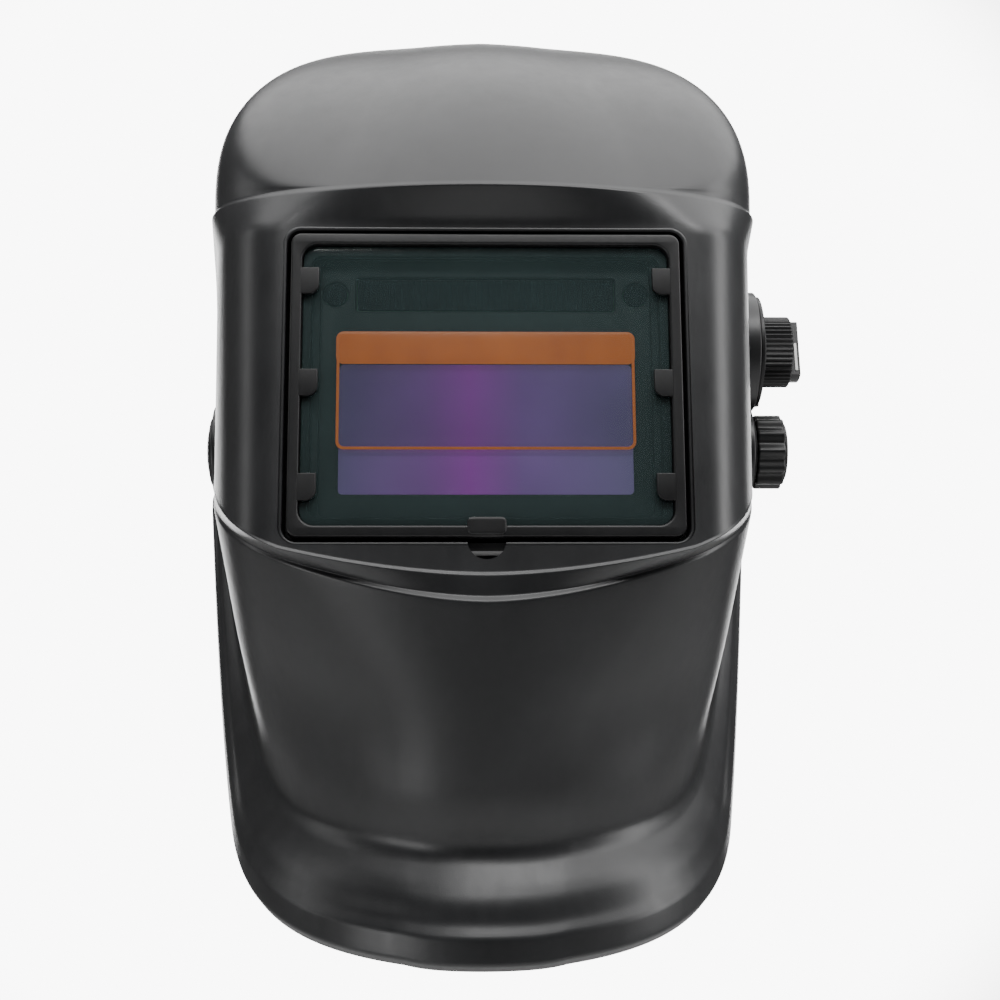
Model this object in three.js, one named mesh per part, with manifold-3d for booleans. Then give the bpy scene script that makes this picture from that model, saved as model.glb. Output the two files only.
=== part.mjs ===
// Auto-darkening welding helmet: flip-up shell, cover lens frame, filter cartridge,
// shade control and ratchet headgear. Millimetres, +Z up, front faces -Y.
// The origin is midway between the two flip pivots.
import * as THREE from 'three';
import { mergeVertices } from 'three/addons/utils/BufferGeometryUtils.js';
import Module from 'manifold-3d';

const wasm = await Module();
wasm.setup();

const DEG = Math.PI / 180;
const GAP = 0.3;

// Driving dimensions
const WALL = 2.5;
const TOP_Z = 156.2;
const CURVE_STEPS = 16;
const WINDOW = { y: -140, z: 17.4, tilt: 12, width: 124.6, height: 99.6, radius: 4.4 };
const FRAME = { width: 122, height: 97, radius: 3.2, front: -1.4, back: 4.5 };
const LENS = { width: 114.4, height: 89.4, radius: 5, front: 0.8, back: 1.8 };
const CARTRIDGE = { width: 110, height: 90, front: 6.8, split: 13, back: 16.3 };
const VIEW = { width: 92, height: 42, w: -12.7 };
const PIVOT = { seat: 105.2, inside: 98.2, bossRadius: 18, flushSeat: 102.4 };
const DIAL = { y: -8, z: 38.5, seat: 105.2, inside: 97.2, bossRadius: 23 };
const TENSION_KNOB = { start: 107, end: 119, radius: 14.4 };
const SHADE_KNOB = { start: 107.4, shoulder: 119, end: 123, radius: 13.6 };
const HEAD = { a: 78, b: 104, y: 12, frontZ: 42, slope: 0.286, width: 24, thickness: 2 };
const CROWN = { a: 80.6, y: 32, lean: 17, top: 102, width: 20, thickness: 1.8 };
const RATCHET = { y: 93.4, z: -12, width: 62, height: 30, teeth: 12, pitchRadius: 6.15, tooth: 0.75 };

// Shell outline rings, from the rim up to the brow. Each ring is a half plan curve: a bulged
// front out to flat, a round corner to side, then a straight line to ear. z0 is its height at
// the front, z1 at the ear, and a larger rise climbs later. cut rounds the edge along the ring.
const windowY = (z) => WINDOW.y + (z - WINDOW.z) * Math.tan(WINDOW.tilt * DEG);
const shellRing = (z0, z1, rise, front, bulge, flat, side, ear, cut) => (
  { z0, z1, rise, front, bulge, flat, side, ear, cut });
const RINGS = [
  shellRing(-162.5, -26, 4.8, -149, 5, 25, [86, -66], [106.6, 32], 0),
  shellRing(-160, -24, 4.8, -152, 5, 25, [88, -66], [108.6, 32], 1),
  shellRing(-152, -18, 4.8, -152, 5, 25, [87.8, -66], [108.4, 32.5], 1.2),
  shellRing(-148, -15, 4.8, -149.4, 5, 25, [86.4, -66], [107.2, 33], 1.4),
  shellRing(-142, -11, 4.8, -147.6, 5, 25, [85.2, -66], [106.8, 33.5], 2.6),
  shellRing(-137, -9, 4.9, -144.4, 5, 25, [82, -66], [106.5, 33.8], 2.6),
  shellRing(-128, -5, 5.4, -138, 6, 25, [77, -67], [106, 34], 9),
  shellRing(-115, -2, 4.6, -144, 8, 28, [79, -71], [106, 34.5], 10),
  shellRing(-92, 1, 3.4, -148, 9, 30, [84.5, -78], [106.2, 35], 16),
  shellRing(-49.4, 5.4, 1.7, -155.2, 10, 55, [90.5, -94], [107, 36], 1.2),
  shellRing(-41, 12, 1.8, windowY(-41) - 0.4, 0, 63, [90.1, -96], [107.4, 37], 1),
  shellRing(69, 60, 2, windowY(69), 0, 63, [89.6, -90], [108, 42], 2.5),
  shellRing(80, 72, 2, -135, 9, 55, [92, -88], [108.6, 44], 0.8),
  shellRing(81.2, 73.4, 2, -133.8, 9, 55, [91.1, -87.2], [107.9, 44], 0.5),
];
const LIP = 4;
const RING_SPANS = [0, 1, 1, 1, 1, 1, 1, 1, 1, 2, 1, 2, 1, 1];
const DOME = { steps: 8, slope: 3.13, roundness: 2.8, leanUntil: 0.3, uprightFrom: 0.867, dip: 0.15 };

function bezier(a, b, c, t) {
  const s = 1 - t;
  return [s * s * a[0] + 2 * s * t * b[0] + t * t * c[0], s * s * a[1] + 2 * s * t * b[1] + t * t * c[1]];
}

// The point of a ring at u, from 0 at the centre line to 1 at the ear
function ringPoint(ring, u) {
  const start = [ring.flat, ring.front + ring.bulge];
  const slope = 2 * ring.bulge / ring.flat;
  const lean = (ring.ear[0] - ring.side[0]) / (ring.ear[1] - ring.side[1]);
  const reach = (ring.side[0] - start[0] - lean * (ring.side[1] - start[1])) / (1 - lean * slope);
  const corner = [start[0] + reach, start[1] + slope * reach];
  let xy;
  if (u < 0.35) {
    const k = u / 0.35;
    xy = [ring.flat * k, ring.front + ring.bulge * k * k];
  } else if (u < 0.7) {
    xy = bezier(start, corner, ring.side, (u - 0.35) / 0.35);
  } else {
    const k = (u - 0.7) / 0.3;
    xy = [ring.side[0] + (ring.ear[0] - ring.side[0]) * k, ring.side[1] + (ring.ear[1] - ring.side[1]) * k];
  }
  return new THREE.Vector3(xy[0], xy[1], ring.z0 + (ring.z1 - ring.z0) * Math.pow(u, ring.rise));
}

// The inside follows the outside one wall thickness in, and stays smooth behind the lip
const INNER_RINGS = RINGS.map((ring, k) => {
  const inLip = k > 0 && k < LIP;
  const { front, side, ear } = inLip ? RINGS[LIP] : ring;
  return {
    ...ring,
    front: front + WALL,
    side: [side[0] - WALL, side[1]],
    ear: [ear[0] - WALL, ring.ear[1]],
    cut: inLip ? 0 : ring.cut,
  };
});

// The dome at s, from 1 at its base to 0 at the pole: sloped in front, upright at the ears
function domePoint(base, pole, topZ, u, s) {
  const upright = THREE.MathUtils.smoothstep(u, DOME.leanUntil, DOME.uprightFrom);
  const sloped = 1 - Math.pow(s, DOME.slope);
  const round = Math.pow(1 - Math.pow(s, DOME.roundness), 1 / DOME.roundness);
  const dip = DOME.dip * u * s * s * (1 - s * s);
  const height = (1 - upright) * sloped + upright * round - dip;
  return new THREE.Vector3(base.x * s, pole + (base.y - pole) * s, base.z + (topZ - base.z) * height);
}

// A vertical line of the shell at u: the rings with rounded edges, then the dome
function shellLine(rings, topZ, u) {
  const knots = rings.map((ring) => ringPoint(ring, u));
  const pole = rings[rings.length - 1].ear[1];
  const lastKnot = knots[knots.length - 1];
  const aboveLast = domePoint(lastKnot, pole, topZ, u, 0.94);
  const line = [knots[0]];
  for (let k = 1; k < knots.length; k += 1) {
    const before = knots[k - 1];
    const here = knots[k];
    const after = k + 1 < knots.length ? knots[k + 1] : aboveLast;
    const cut = Math.min(rings[k].cut, 0.42 * here.distanceTo(before), 0.42 * here.distanceTo(after));
    const enter = here.clone().addScaledVector(before.clone().sub(here).normalize(), cut);
    const leave = here.clone().addScaledVector(after.clone().sub(here).normalize(), cut);
    const last = line[line.length - 1].clone();
    for (let i = 1; i < RING_SPANS[k]; i += 1) line.push(last.clone().lerp(enter, i / RING_SPANS[k]));
    line.push(enter, leave);
  }
  const base = line[line.length - 1].clone();
  for (let i = 1; i <= DOME.steps; i += 1) {
    const s = i === DOME.steps ? 0 : Math.pow(Math.cos((i / DOME.steps) * 90 * DEG), 0.8);
    line.push(domePoint(base, pole, topZ, u, s));
  }
  return line;
}

// A closed body from its vertex list and triangles, faces checked to point out
function closedGeometry(vertices, faces) {
  let volume = 0;
  for (const [a, b, c] of faces) {
    volume += vertices[a].dot(vertices[b].clone().cross(vertices[c]));
  }
  const positions = [];
  for (const [a, b, c] of faces) {
    const order = volume > 0 ? [a, b, c] : [a, c, b];
    for (const k of order) positions.push(vertices[k].x, vertices[k].y, vertices[k].z);
  }
  const geometry = new THREE.BufferGeometry();
  geometry.setAttribute('position', new THREE.Float32BufferAttribute(positions, 3));
  return geometry;
}

function shellSkin() {
  const columns = 2 * CURVE_STEPS;
  const skin = (rings, topZ) => Array.from({ length: columns + 1 }, (_, i) => {
    const t = i / CURVE_STEPS - 1;
    const line = shellLine(rings, topZ, Math.abs(t));
    return line.map((p) => new THREE.Vector3(Math.sign(t) * p.x, p.y, p.z));
  });
  const grid = skin(RINGS, TOP_Z);
  const inner = skin(INNER_RINGS, TOP_Z - WALL);
  const rows = grid[0].length - 1;
  const vertices = [...grid.flat(), ...inner.flat()];
  const outerId = (i, j) => i * (rows + 1) + j;
  const innerId = (i, j) => (columns + 1) * (rows + 1) + i * (rows + 1) + j;
  const faces = [];
  const quad = (a, b, c, d) => faces.push([a, b, c], [a, c, d]);
  for (let i = 0; i < columns; i += 1) {
    for (let j = 0; j < rows; j += 1) {
      quad(outerId(i, j), outerId(i + 1, j), outerId(i + 1, j + 1), outerId(i, j + 1));
      quad(innerId(i, j), innerId(i, j + 1), innerId(i + 1, j + 1), innerId(i + 1, j));
    }
    quad(outerId(i, 0), innerId(i, 0), innerId(i + 1, 0), outerId(i + 1, 0));
  }
  for (let j = 0; j < rows; j += 1) {
    quad(outerId(0, j), outerId(0, j + 1), innerId(0, j + 1), innerId(0, j));
    quad(outerId(columns, j), innerId(columns, j), innerId(columns, j + 1), outerId(columns, j + 1));
  }
  return closedGeometry(vertices, faces);
}

// Booleans
function toSolid(geometry) {
  const bare = geometry.clone();
  bare.deleteAttribute('normal');
  bare.deleteAttribute('uv');
  const merged = mergeVertices(bare, 1e-4);
  const index = Array.from(merged.index.array);
  const kept = [];
  for (let i = 0; i < index.length; i += 3) {
    const [a, b, c] = index.slice(i, i + 3);
    if (a !== b && b !== c && a !== c) kept.push(a, b, c);
  }
  const vertProperties = new Float32Array(merged.attributes.position.array);
  return new wasm.Manifold(new wasm.Mesh({ numProp: 3, vertProperties, triVerts: new Uint32Array(kept) }));
}

function toGeometry(solid) {
  const mesh = solid.getMesh();
  const geometry = new THREE.BufferGeometry();
  geometry.setAttribute('position', new THREE.BufferAttribute(new Float32Array(mesh.vertProperties), 3));
  geometry.setIndex(new THREE.BufferAttribute(new Uint32Array(mesh.triVerts), 1));
  return geometry;
}

function combine(base, added, removed) {
  let solid = toSolid(base);
  for (const geometry of added) solid = solid.add(toSolid(geometry));
  for (const geometry of removed) solid = solid.subtract(toSolid(geometry));
  return toGeometry(solid);
}

// Basic shapes
function roundedRect(width, height, radius, centre = [0, 0]) {
  const [x, y] = centre;
  const w = width / 2;
  const h = height / 2;
  const shape = new THREE.Shape();
  shape.moveTo(x - w + radius, y - h);
  shape.lineTo(x + w - radius, y - h);
  shape.absarc(x + w - radius, y - h + radius, radius, -90 * DEG, 0, false);
  shape.absarc(x + w - radius, y + h - radius, radius, 0, 90 * DEG, false);
  shape.absarc(x - w + radius, y + h - radius, radius, 90 * DEG, 180 * DEG, false);
  shape.absarc(x - w + radius, y - h + radius, radius, 180 * DEG, 270 * DEG, false);
  return shape;
}

// A flat piece in the window's own frame: its outline in X and up, front and back along Y
function panel(shape, front, back, curveSegments = 3) {
  const depth = back - front;
  const geometry = new THREE.ExtrudeGeometry(shape, { depth, bevelEnabled: false, curveSegments });
  return geometry.rotateX(90 * DEG).translate(0, back, 0);
}

function plate(width, height, radius, front, back, centre) {
  return panel(roundedRect(width, height, radius, centre), front, back);
}

function block(x0, x1, y0, y1, z0, z1) {
  const geometry = new THREE.BoxGeometry(x1 - x0, y1 - y0, z1 - z0);
  return geometry.translate((x0 + x1) / 2, (y0 + y1) / 2, (z0 + z1) / 2);
}

// A body turned about the X axis, from [radius, x] pairs that start and end on the axis
function turnedX(profile, segments = 24) {
  const points = profile.map(([radius, x]) => new THREE.Vector2(radius, x));
  return new THREE.LatheGeometry(points, segments).rotateZ(-90 * DEG);
}

function discX(radius, x0, x1, segments = 24) {
  return turnedX([[0, x0], [radius, x0], [radius, x1], [0, x1]], segments);
}

function ringX(outer, inner, x0, x1, segments = 24) {
  return turnedX([[inner, x0], [outer, x0], [outer, x1], [inner, x1], [inner, x0]], segments);
}

function discY(radius, y0, y1, segments = 20) {
  return discX(radius, y0, y1, segments).rotateZ(90 * DEG);
}

function ringY(outer, inner, y0, y1, segments = 20) {
  return ringX(outer, inner, y0, y1, segments).rotateZ(90 * DEG);
}

// A prism along X whose outline radius is a function of the angle
function lobedX(radiusAt, steps, x0, x1) {
  const points = [];
  for (let i = 0; i < steps; i += 1) {
    const angle = (2 * Math.PI * i) / steps;
    points.push(new THREE.Vector2(radiusAt(angle) * Math.cos(angle), radiusAt(angle) * Math.sin(angle)));
  }
  const shape = new THREE.Shape(points);
  const geometry = new THREE.ExtrudeGeometry(shape, { depth: x1 - x0, bevelEnabled: false });
  return geometry.rotateY(90 * DEG).translate(x0, 0, 0);
}

// A flat strip: its middle line, the direction of its thickness and of its width at each point
function strap(stations, width, thickness) {
  const vertices = [];
  for (const { point, out, side } of stations) {
    for (const [a, b] of [[-1, -1], [1, -1], [1, 1], [-1, 1]]) {
      const corner = point.clone().addScaledVector(out, (a * thickness) / 2);
      vertices.push(corner.addScaledVector(side, (b * width) / 2));
    }
  }
  const faces = [[0, 1, 2], [0, 2, 3]];
  for (let s = 0; s + 1 < stations.length; s += 1) {
    for (let k = 0; k < 4; k += 1) {
      const a = 4 * s + k;
      const b = 4 * s + ((k + 1) % 4);
      faces.push([a, a + 4, b + 4], [a, b + 4, b]);
    }
  }
  const end = 4 * (stations.length - 1);
  faces.push([end, end + 2, end + 1], [end, end + 3, end + 2]);
  return closedGeometry(vertices, faces);
}

// Materials
function finish(color, roughness, metalness = 0) {
  return new THREE.MeshStandardMaterial({ color, roughness, metalness });
}

const shellPlastic = () => finish(0x17181a, 0.35);
const frameBlack = () => finish(0x141516, 0.45);
const mattBlack = () => finish(0x1d1e20, 0.7);
const clearPlastic = () => finish(0x31474a, 0.1);
const filterGlass = () => finish(0x58407a, 0.15);
const orangeFilm = () => finish(0xb5602c, 0.4);
const steel = () => finish(0xb4b7ba, 0.35, 1);
const copper = () => finish(0x2f6b3c, 0.5);
const whiteMark = () => finish(0xe8e8e4, 0.5);
const rubber = () => finish(0x222222, 0.9);
const cloth = () => finish(0x2b2c30, 0.95);
const headgearPlastic = () => finish(0x26282b, 0.6);

const helmet = new THREE.Group();
const windowGroup = new THREE.Group();
windowGroup.position.set(0, WINDOW.y, WINDOW.z);
windowGroup.rotation.x = -WINDOW.tilt * DEG;
helmet.add(windowGroup);

function place(parent, name, geometry, material) {
  const mesh = new THREE.Mesh(geometry, material);
  mesh.name = name;
  parent.add(mesh);
  return mesh;
}

// Moves a body from the window's frame to the helmet's
function fromWindow(geometry) {
  return geometry.rotateX(-WINDOW.tilt * DEG).translate(0, WINDOW.y, WINDOW.z);
}

function windowRim() {
  const shape = roundedRect(WINDOW.width + 5, WINDOW.height + 5, WINDOW.radius + 2.5);
  shape.holes.push(roundedRect(WINDOW.width, WINDOW.height, WINDOW.radius));
  return fromWindow(panel(shape, 0.5, 12));
}

function buildShell() {
  const boss = (at, radius) => discX(radius, at.inside, at.seat).translate(0, at.y ?? 0, at.z ?? 0);
  const capBoss = discX(PIVOT.bossRadius, -PIVOT.flushSeat, -PIVOT.inside);
  const opening = fromWindow(plate(WINDOW.width, WINDOW.height, WINDOW.radius, -20, 11.9));
  const notch = fromWindow(discY(6, -20, 3).translate(0, 0, -WINDOW.height / 2 + 0.5));
  const pivotBore = discX(4.2, -130, 130, 20);
  const dialBore = discX(4.6, 90, 130, 20).translate(0, DIAL.y, DIAL.z);
  const seatClear = discX(16.5, PIVOT.seat, PIVOT.seat + 6);
  const dialClear = discX(DIAL.bossRadius, DIAL.seat, DIAL.seat + 6).translate(0, DIAL.y, DIAL.z);
  const capClear = discX(16.5, -PIVOT.flushSeat - 6, -PIVOT.flushSeat);
  const added = [windowRim(), boss(PIVOT, PIVOT.bossRadius), boss(DIAL, DIAL.bossRadius), capBoss];
  const removed = [opening, notch, pivotBore, dialBore, seatClear, dialClear, capClear];
  place(helmet, 'shell', combine(shellSkin(), added, removed), shellPlastic());
}

// Cover lens frame: a rounded ring with a ledge behind the lens, six hooks and a finger tab
function buildLensFrame() {
  const opening = [LENS.width + 0.6, LENS.height + 0.6];
  const ring = roundedRect(FRAME.width, FRAME.height, FRAME.radius);
  ring.holes.push(roundedRect(opening[0], opening[1], LENS.radius));
  const ledge = roundedRect(opening[0] + 2, opening[1] + 2, LENS.radius + 1);
  ledge.holes.push(roundedRect(opening[0] - 6, opening[1] - 6, LENS.radius - 2));
  const added = [panel(ledge, LENS.back + GAP, FRAME.back - 0.2)];
  const hookX = opening[0] / 2 - 1.8;
  for (const side of [-1, 1]) {
    for (const w of [33, 0, -33]) {
      added.push(plate(7.4, 8.6, 1.4, FRAME.front + 0.1, LENS.front - GAP, [side * hookX, w]));
    }
  }
  const tab = plate(12, 5.6, 1.5, FRAME.front - 0.6, LENS.front - GAP, [0, -opening[1] / 2 - 0.2]);
  const grip = discY(4.6, FRAME.front - 1, 3).translate(0, 0, -FRAME.height / 2 - 0.2);
  const frame = combine(panel(ring, FRAME.front, FRAME.back), [...added, tab], [grip]);
  place(windowGroup, 'lens_frame', frame, frameBlack());
  const lens = plate(LENS.width, LENS.height, LENS.radius - 0.5, LENS.front, LENS.back);
  place(windowGroup, 'cover_lens', lens, clearPlastic());
}

// Filter carrier: a tray inside the window rim, with a flange behind it
function buildCarrier() {
  const body = roundedRect(121, 96, 3);
  body.holes.push(roundedRect(CARTRIDGE.width + 0.8, CARTRIDGE.height + 0.8, 2));
  const lip = roundedRect(118, 93, 3);
  lip.holes.push(roundedRect(104, 84, 4));
  const flange = roundedRect(WINDOW.width + 9, WINDOW.height + 7.6, 8);
  flange.holes.push(roundedRect(CARTRIDGE.width + 0.8, CARTRIDGE.height + 0.8, 2));
  const added = [panel(lip, 5.4, CARTRIDGE.front - GAP), panel(flange, 12.3, 14.4)];
  for (const side of [-1, 1]) {
    const x = side * 12.3;
    added.push(block(x - 1.6, x + 1.6, 14, 20, -53.5, -46.6));
  }
  const carrier = combine(panel(body, CARTRIDGE.front - 0.5, 16.4), added, []);
  place(windowGroup, 'filter_carrier', carrier, mattBlack());
  const grip = block(-8, 8, 18.4, 20.4, -52, -50);
  const latch = combine(plate(20.6, 10, 1.5, 16.8, 18.6, [0, -47.6]), [grip], []);
  place(windowGroup, 'cartridge_latch', latch, frameBlack());
}

// Filter cartridge, seen from the front: solar cell and sensors above the viewing window
function buildCartridge() {
  const { width, height, front, split, back } = CARTRIDGE;
  const view = (grow, y0, y1) => plate(VIEW.width + grow, VIEW.height + grow, 2, y0, y1, [0, VIEW.w]);
  const sensorAt = [-47.5, 47.5];
  const frontCuts = [
    view(0, front - 1, front + 2),
    view(6, front + 1, split + 1),
    plate(82, 11, 1, front - 1, front + 3, [0, 31]),
    plate(102, 28, 2, front + 2, split + 1, [0, 29]),
    ...sensorAt.map((x) => discY(4, front - 1, front + 3).translate(x, 0, 31)),
  ];
  const housingFront = combine(plate(width, height, 3, front, split), [], frontCuts);
  place(windowGroup, 'filter_housing_front', housingFront, mattBlack());

  const rails = [14.8, -40.2].map((w) => plate(104, 3, 1, back - 0.5, 19, [0, w]));
  const lips = [14, -39.4].map((w) => plate(104, 4.6, 1, 18.3, 19.4, [0, w]));
  const boot = discY(3.4, back - 0.5, back + 4.7, 16).translate(49.5, 0, 37);
  const knobAt = [-28, 28];
  const stems = knobAt.map((x) => discY(2.6, split - 1, back + 1).translate(x, 0, 29));
  const housingBack = combine(plate(width, height, 3, split + GAP, back), [...rails, ...lips, boot], [
    view(0, split - 1, back + 1), ...stems]);
  place(windowGroup, 'filter_housing_back', housingBack, mattBlack());

  place(windowGroup, 'protective_film', plate(94, 38.4, 2.5, 6, front - GAP, [0, -0.6]), orangeFilm());
  place(windowGroup, 'uv_ir_filter', view(5.2, front + 1.3, front + 2.4), filterGlass());
  place(windowGroup, 'lcd_shutter', view(5.2, front + 2.8, split - 0.5), filterGlass());
  place(windowGroup, 'solar_cell', plate(81, 10, 0.6, front + 0.2, front + 1.6, [0, 31]), filterGlass());
  place(windowGroup, 'circuit_board', plate(101, 27, 1, front + 2.3, front + 3.9, [0, 29]), copper());
  sensorAt.forEach((x, k) => {
    const name = `arc_sensor_${k === 0 ? 'right' : 'left'}`;
    place(windowGroup, name, discY(3.6, front + 0.3, front + 1.9).translate(x, 0, 31), clearPlastic());
  });
  [-10, 10].forEach((x, k) => {
    const cell = discY(8, front + 4.2, split - 0.3).translate(x, 0, 30);
    place(windowGroup, `coin_cell_${k + 1}`, cell, steel());
  });
  ['sensitivity_knob', 'delay_knob'].forEach((name, k) => {
    const stem = discY(2.2, front + 4.4, back + 0.5).translate(knobAt[k], 0, 29);
    const grip = lobedX((a) => 7 + 0.4 * Math.cos(9 * a), 36, back + GAP, back + 3.6).rotateZ(90 * DEG);
    const slot = block(-6, 6, back + 2.8, back + 4, -0.6, 0.6);
    const knob = combine(grip.translate(knobAt[k], 0, 29), [stem], [slot.translate(knobAt[k], 0, 29)]);
    place(windowGroup, name, knob, frameBlack());
  });
  const innerLens = plate(104, 51.4, 1, back + 0.4, back + 1.4, [0, VIEW.w]);
  place(windowGroup, 'inner_cover_lens', innerLens, clearPlastic());
}

// Shade control: dial plate and knob outside the shell, potentiometer inside it
function buildShadeControl() {
  const at = (geometry) => geometry.translate(0, DIAL.y, DIAL.z);
  const nubs = [-20, 20].map((z) => block(DIAL.seat + 0.4, DIAL.seat + 2.6, -2.5, 2.5, z - 1.2, z + 1.2));
  const dialPlate = combine(ringX(21.3, 4.8, DIAL.seat + GAP, DIAL.seat + 1.8, 48), nubs, []);
  place(helmet, 'shade_dial_plate', at(dialPlate), frameBlack());
  const { inside, seat } = DIAL;
  const bushing = ringX(4.2, 3.3, inside - 2, seat + 1.2, 20);
  const shaftBore = discX(3.3, inside - 7, seat + 5, 20);
  const can = combine(discX(8.5, inside - 9, inside - 1.6), [bushing], [shaftBore]);
  place(helmet, 'shade_control_body', at(can), steel());
  const hexagon = (a) => 7 / Math.cos(((a + 30 * DEG) % (60 * DEG)) - 30 * DEG);
  const nut = lobedX(hexagon, 12, inside - 1.3, inside - GAP);
  place(helmet, 'shade_control_nut', at(combine(nut, [], [discX(4.6, 90, 101)])), steel());
  place(helmet, 'shade_control_shaft', at(discX(2.9, inside - 6.6, SHADE_KNOB.shoulder - 3, 16)), steel());
  buildShadeKnob(at);
}

function buildShadeKnob(at) {
  const { start, shoulder, end, radius } = SHADE_KNOB;
  const ribs = lobedX((a) => radius - 0.5 + 0.4 * Math.cos(40 * a), 80, start, shoulder);
  const cap = discX(11.8, shoulder - 0.5, end, 36);
  const bar = block(shoulder + 0.8, end + 1, -11.9, -4.2, -14, 14);
  const bars = [bar, bar.clone().rotateX(180 * DEG)];
  const bore = discX(3.2, start - 1, shoulder - 2.7, 20);
  const slot = block(end - 2.2, end - 0.9, -4.6, -3.7, -9.6, 2.1);
  const knob = combine(ribs, [cap], [...bars, bore, slot]);
  place(helmet, 'shade_knob', at(knob.rotateX(-20 * DEG)), frameBlack());
  const index = block(end - 2, end - 1.1, -4.4, -3.8, -9.4, 1.9).rotateX(-20 * DEG);
  place(helmet, 'shade_knob_index', at(index), whiteMark());
}

// The cable from the shade control to the filter cartridge, held against the shell
function buildControlCable() {
  const route = [
    [84.2, -7.95, 36], [84, -15, 36], [83, -42, 35], [83, -72, 38], [76, -92, 44],
    [62, -101, 48], [52, -103.5, 48.6], [49.5, -107, 48.9], [49.5, -111.4, 49.2],
  ];
  const path = new THREE.CatmullRomCurve3(route.map((p) => new THREE.Vector3(...p)));
  const section = new THREE.Shape().absarc(0, 0, 1.5, 0, 2 * Math.PI);
  const geometry = new THREE.ExtrudeGeometry(section, { steps: 28, curveSegments: 4, extrudePath: path });
  place(helmet, 'control_cable', geometry, rubber());
  place(helmet, 'cable_gland', block(82.3, DIAL.inside - 9.3, -7.6, -3, 33, 39), rubber());
}

// Flip pivots: block, stud, stop plate and washers on each side
function buildPivot(side) {
  const name = side > 0 ? 'left' : 'right';
  const turn = (geometry) => (side > 0 ? geometry : geometry.rotateZ(180 * DEG));
  const { inside } = PIVOT;
  const body = combine(block(79.6, inside - 4.1, -15, 15, -17, 13), [], [
    discX(4.2, 70, 110, 20), discX(8, 70, 88.9),
    block(78, 91, 8.6, 13.4, -15, 11), block(78, 91, -13.4, -8.6, -15, 11)]);
  place(helmet, `pivot_block_${name}`, turn(body), headgearPlastic());
  const studEnd = side > 0 ? TENSION_KNOB.end - 2.4 : PIVOT.flushSeat + 1.1;
  place(helmet, `pivot_stud_${name}`, turn(turnedX([
    [0, 85.4], [7, 85.4], [7, 88.6], [3.6, 88.6], [3.6, studEnd], [0, studEnd]], 20)), steel());
  const stopSpan = [inside - 3.8, inside - 2.1];
  const stop = combine(ringX(14, 4.2, ...stopSpan), [block(...stopSpan, -4, 4, 12, 19)], []);
  place(helmet, `stop_plate_${name}`, turn(stop), steel());
  place(helmet, `friction_washer_${name}`, turn(ringX(13, 4.2, inside - 1.8, inside - GAP)), rubber());
}

function buildTensionKnob() {
  const { start, end, radius } = TENSION_KNOB;
  const lobes = lobedX((a) => radius - 0.9 + 0.9 * Math.cos(12 * a), 72, start, end - 1.6);
  const top = discX(radius - 2.4, end - 2, end, 36);
  const bore = discX(6.3, start - 1, end - 2, 24);
  place(helmet, 'tension_knob', combine(lobes, [top], [bore]), frameBlack());
  place(helmet, 'tension_knob_insert', ringX(5.9, 3.9, start + 0.8, end - 2.4, 24), steel());
  place(helmet, 'tension_washer', ringX(13, 4.2, PIVOT.seat + GAP, start - GAP), rubber());
  const capSeat = -PIVOT.flushSeat - GAP;
  const cap = turnedX([[0, capSeat - 2.3], [8, capSeat - 2.3], [13.2, capSeat - 1.1], [13.2, capSeat],
    [3.9, capSeat], [3.9, capSeat - 1.2], [0, capSeat - 1.2]]);
  place(helmet, 'pivot_cap_right', cap, frameBlack());
}

// Headgear
function bandStation(angle, inset = 0, drop = 0) {
  const x = HEAD.a * Math.sin(angle);
  const y = HEAD.y - HEAD.b * Math.cos(angle);
  const out = new THREE.Vector3(x / HEAD.a ** 2, (y - HEAD.y) / HEAD.b ** 2, 0).normalize();
  const z = HEAD.frontZ - HEAD.slope * (y - HEAD.y + HEAD.b) + drop;
  const point = new THREE.Vector3(x, y, z).addScaledVector(out, -inset);
  return { point, out, side: new THREE.Vector3(0, 0, 1) };
}

function bandArc(from, to, steps, inset = 0, drop = 0) {
  const angle = (i) => (from + ((to - from) * i) / steps) * DEG;
  return Array.from({ length: steps + 1 }, (_, i) => bandStation(angle(i), inset, drop));
}

function crownStation(side, angle, top) {
  const x = side * CROWN.a * Math.cos(angle);
  const rise = Math.sin(angle);
  const out = new THREE.Vector3(Math.cos(angle) * side / CROWN.a, 0, rise / top).normalize();
  const point = new THREE.Vector3(x, CROWN.y - CROWN.lean * Math.max(rise, 0), 8 + top * rise);
  return { point, out, side: new THREE.Vector3(0, 1, 0) };
}

function buildHeadgear() {
  const band = strap(bandArc(-150, 150, 36), HEAD.width, HEAD.thickness);
  place(helmet, 'headband', band, headgearPlastic());
  place(helmet, 'sweatband', strap(bandArc(-58, 58, 18, 4.4), 30, 6), cloth());
  const pegBore = new THREE.CylinderGeometry(2.6, 2.6, 20, 16).rotateX(90 * DEG)
    .translate(0, CROWN.y - CROWN.lean, 8 + CROWN.top);
  for (const side of [1, -1]) {
    const top = CROWN.top - (side > 0 ? 0 : 2.4);
    const angle = (i) => (-4 + (106 * i) / 20) * DEG;
    const stations = Array.from({ length: 21 }, (_, i) => crownStation(side, angle(i), top));
    const half = combine(strap(stations, CROWN.width, CROWN.thickness), [], [pegBore]);
    place(helmet, `crown_strap_${side > 0 ? 'left' : 'right'}`, half, headgearPlastic());
  }
  const topZ = 8 + CROWN.top;
  const profile = [
    [0, -6.3], [4.2, -6.3], [4.2, -4], [2.2, -4],
    [2.2, 1.4], [5, 1.4], [4, 2.8], [0, 2.8],
  ].map(([r, z]) => new THREE.Vector2(r, topZ + z));
  const peg = new THREE.LatheGeometry(profile, 20);
  place(helmet, 'crown_peg', peg.rotateX(90 * DEG).translate(0, CROWN.y - CROWN.lean, 0), frameBlack());
}

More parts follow.
